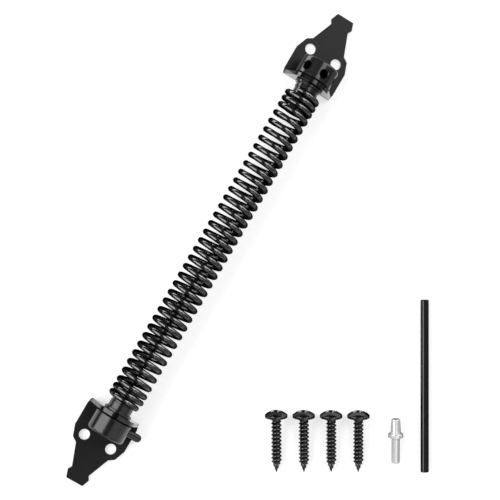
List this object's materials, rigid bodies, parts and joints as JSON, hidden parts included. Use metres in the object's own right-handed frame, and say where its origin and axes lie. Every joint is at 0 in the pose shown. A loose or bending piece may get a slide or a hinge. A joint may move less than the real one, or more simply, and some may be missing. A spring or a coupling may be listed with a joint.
{
  "type": "gate spring closer",
  "caption": "Torsion spring gate closer: bent eye brackets, turned plugs with winding holes and a stop pin, a long coil gripped on both plugs, and loose screws, lock pin and rod.",
  "frame": {"origin": "midway between the lower bracket's two screw holes, on the back of its leaf", "axes": "+Y along the spring towards the upper bracket, +Z out of the mounting face, +X to the right"},
  "size_m": [0.202, 0.3216, 0.0267],
  "materials": {
    "black_leaf": "smooth black coat",
    "black_turned": "glossy black coat",
    "black_spring": "glossy black coat",
    "black_screw": "glossy black",
    "black_rod": "satin black",
    "bright_zinc": "bright zinc"
  },
  "bodies": {
    "lower_bracket": {"lower_bracket": "black_leaf", "screw_1": "black_screw", "screw_2": "black_screw", "screw_3": "black_screw", "screw_4": "black_screw", "lock_pin": "bright_zinc", "tension_rod": "black_rod"},
    "lower_plug": {"lower_plug": "black_turned", "stop_pin": "black_turned", "lower_washer": "black_turned", "spring": "black_spring"},
    "upper_plug": {"upper_plug": "black_turned", "upper_washer": "black_turned"},
    "upper_bracket": {"upper_bracket": "black_leaf"}
  },
  "joints": [
    {"name": "lower_swivel", "type": "hinge", "parent": "lower_bracket", "child": "lower_plug", "pos_m": [0, 0.0214, 0.0144], "axis": [0, -1, 0], "range_deg": [0, 235]},
    {"name": "spring_twist", "type": "hinge", "parent": "lower_plug", "child": "upper_plug", "pos_m": [0, 0.1337, 0.0144], "axis": [0, -1, 0], "range_deg": [0, 270], "stiffness_Nm_per_rad": 0.8, "deforming": ["spring"]},
    {"name": "upper_swivel", "type": "hinge", "parent": "upper_plug", "child": "upper_bracket", "pos_m": [0, 0.246, 0.0144], "axis": [0, 1, 0], "continuous": true}
  ]
}
